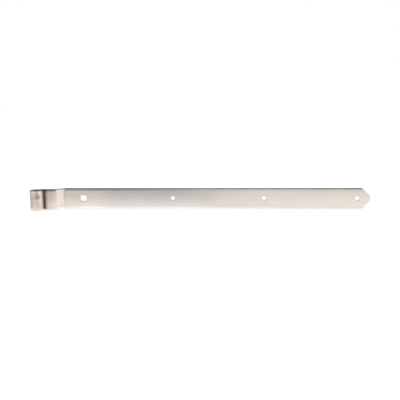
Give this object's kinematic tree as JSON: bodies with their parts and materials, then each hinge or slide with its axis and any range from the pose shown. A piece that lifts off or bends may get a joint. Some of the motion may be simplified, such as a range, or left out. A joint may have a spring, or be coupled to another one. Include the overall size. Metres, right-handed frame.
{
  "type": "hinge band",
  "caption": "Cranked strap of a hook and band hinge: a flat steel bar rolled into an eye for the pin, with a square bolt hole, round screw holes and a pointed end.",
  "frame": {"origin": "middle of the eye's bore, on the pin's axis at half the bar's width", "axes": "+Z along the pin, +X along the strap from the eye to the point, +Y towards the door that the strap lies on"},
  "size_m": [0.5, 0.03, 0.03],
  "materials": {
    "satin_steel": "satin stainless steel, fine grain along the strap"
  },
  "bodies": {
    "root": {"hinge_band": "satin_steel"}
  },
  "joints": []
}
